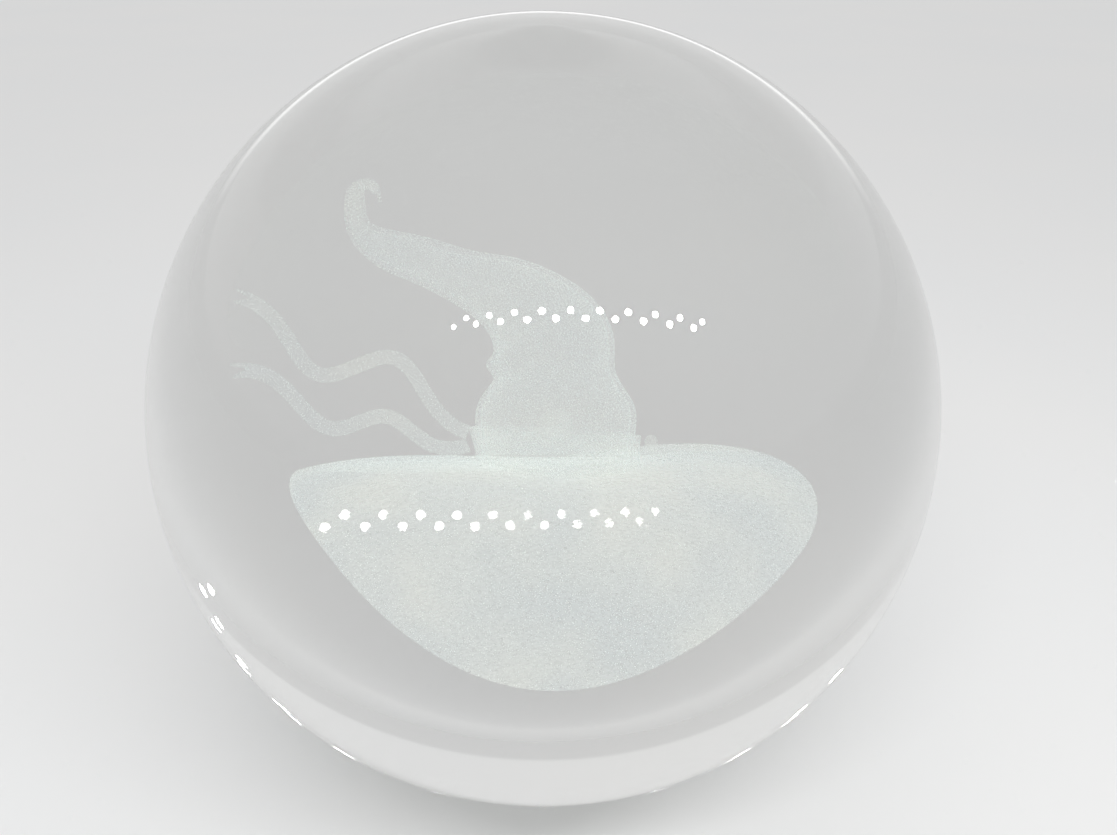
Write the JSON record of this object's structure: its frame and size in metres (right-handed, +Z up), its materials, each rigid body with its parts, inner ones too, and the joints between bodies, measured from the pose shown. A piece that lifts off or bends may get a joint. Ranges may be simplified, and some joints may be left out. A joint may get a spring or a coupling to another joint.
{
  "type": "crystal ball",
  "caption": "Solid clear glass ball with a small ground flat base and a pointed hat engraved inside it in thin frosted layers.",
  "frame": {"origin": "centre of the flat base", "axes": "+Z up through the ball's centre; -Y towards the front of the engraved hat; +X to the right as seen from the front"},
  "size_m": [0.08, 0.08, 0.0787],
  "materials": {
    "clear_glass": "polished clear optical glass, flat base ground and polished",
    "frosted_engraving": "frosted white layer of fine dots inside clear glass"
  },
  "bodies": {
    "root": {"glass_ball": "clear_glass", "hat_crown": "frosted_engraving", "hat_brim": "frosted_engraving", "hat_band": "frosted_engraving", "front_knot": "frosted_engraving", "side_knot": "frosted_engraving", "upper_ribbon": "frosted_engraving", "lower_ribbon": "frosted_engraving"}
  },
  "joints": []
}
